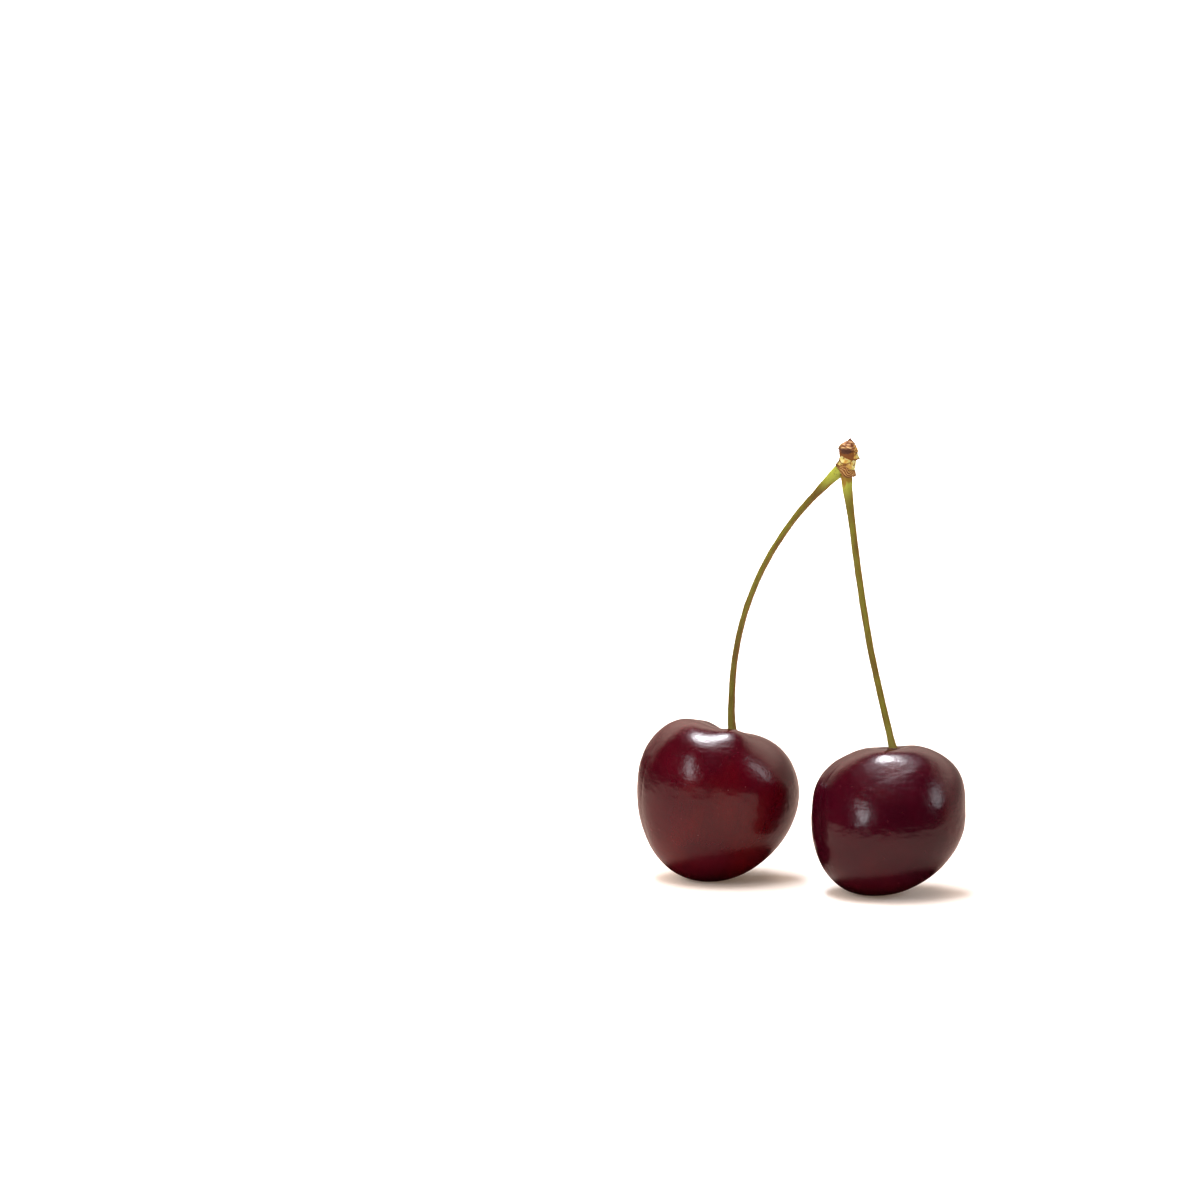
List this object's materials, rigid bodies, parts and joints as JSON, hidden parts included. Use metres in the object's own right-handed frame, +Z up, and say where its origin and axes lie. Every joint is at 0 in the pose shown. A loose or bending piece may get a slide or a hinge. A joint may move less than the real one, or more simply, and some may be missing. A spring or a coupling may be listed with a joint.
{
  "type": "cherries on stalks",
  "caption": "Dark glossy sweet cherries on long curved green stalks that join at a short scaly spur, standing upright on the fruits.",
  "frame": {"origin": "on the surface that the fruits stand on, under the middle of the pair's box", "axes": "+Z up, along the stalks towards the spur; +X to the right of the pair; -Y to its front"},
  "size_m": [0.0542, 0.0385, 0.0752],
  "materials": {
    "cherry_skin": "very glossy waxy fruit skin, deep burgundy",
    "stalk": "satin green stalk with brown flecks",
    "spur": "matte, dark brown broken end over pale flesh",
    "papery_scale": "dry wrinkled brown bud scale",
    "pale_bract": "pale yellow-green bract with a thin brown rim"
  },
  "bodies": {
    "root": {"fruit_left": "cherry_skin", "fruit_right": "cherry_skin", "stalk_left": "stalk", "stalk_right": "stalk", "spur": "spur", "collar_scale_front": "papery_scale", "collar_scale_right": "papery_scale", "collar_scale_back": "papery_scale", "bract_lower": "pale_bract", "bract_back": "pale_bract", "bract_upper": "pale_bract", "tip_scale": "papery_scale"}
  },
  "joints": []
}
